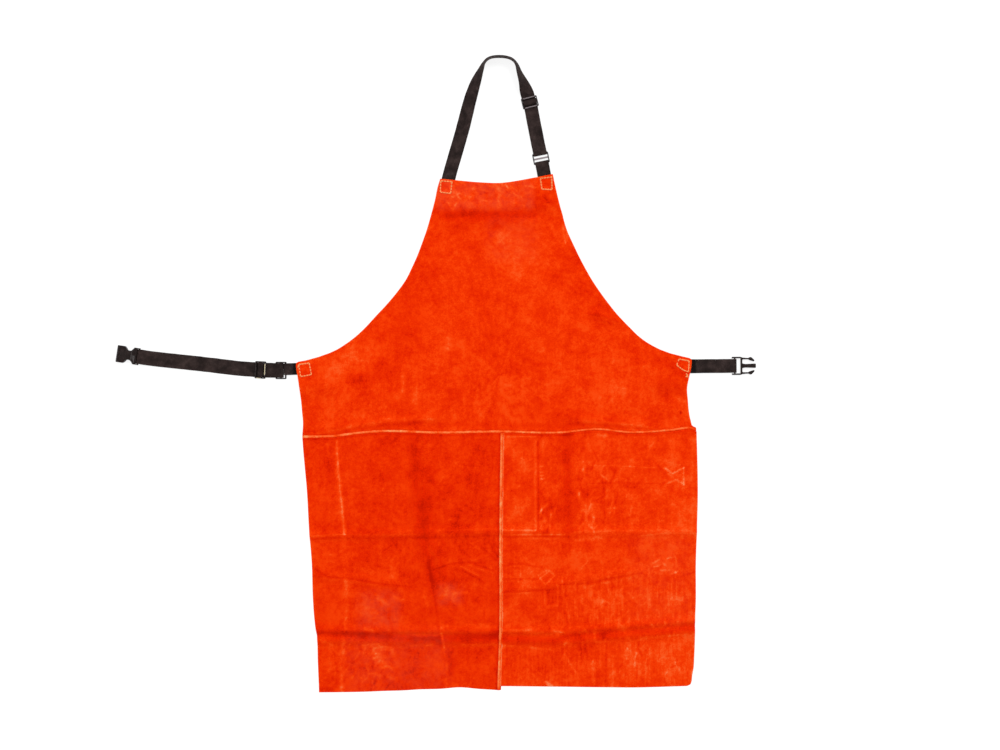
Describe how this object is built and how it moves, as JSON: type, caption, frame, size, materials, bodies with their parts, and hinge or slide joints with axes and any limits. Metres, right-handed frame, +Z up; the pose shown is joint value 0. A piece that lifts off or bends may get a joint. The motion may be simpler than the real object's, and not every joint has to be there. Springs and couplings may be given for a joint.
{
  "type": "leather apron",
  "caption": "Bib apron of suede hide with a panelled skirt, an adjustable webbing neck loop and a waist strap with an open side-release buckle, laid flat with its front up.",
  "frame": {"origin": "on the floor under the middle of the bib, on the flat underside of the hide", "axes": "+X to the right seen from above with the neck loop away from the viewer, +Y from the hem to the neck loop, +Z up from the floor, out of the apron's front"},
  "size_m": [1.1227, 1.1185, 0.0239],
  "materials": {
    "hide": "matt split suede, bright orange-red",
    "welt": "matt pale orange strip in the seams",
    "webbing": "flat woven black webbing",
    "plastic": "moulded black plastic, semi-gloss"
  },
  "bodies": {
    "root": {"bib_panel": "hide", "skirt_left": "hide", "skirt_right": "hide", "waist_welt": "welt", "centre_welt": "welt", "neck_strap": "webbing", "neck_tab": "webbing", "waist_strap": "webbing", "waist_tab_left": "webbing", "waist_tab_right": "webbing", "neck_slider": "plastic", "neck_ring": "plastic", "waist_slider": "plastic", "waist_ring": "plastic", "buckle_socket": "plastic", "buckle_plug": "plastic"}
  },
  "joints": []
}
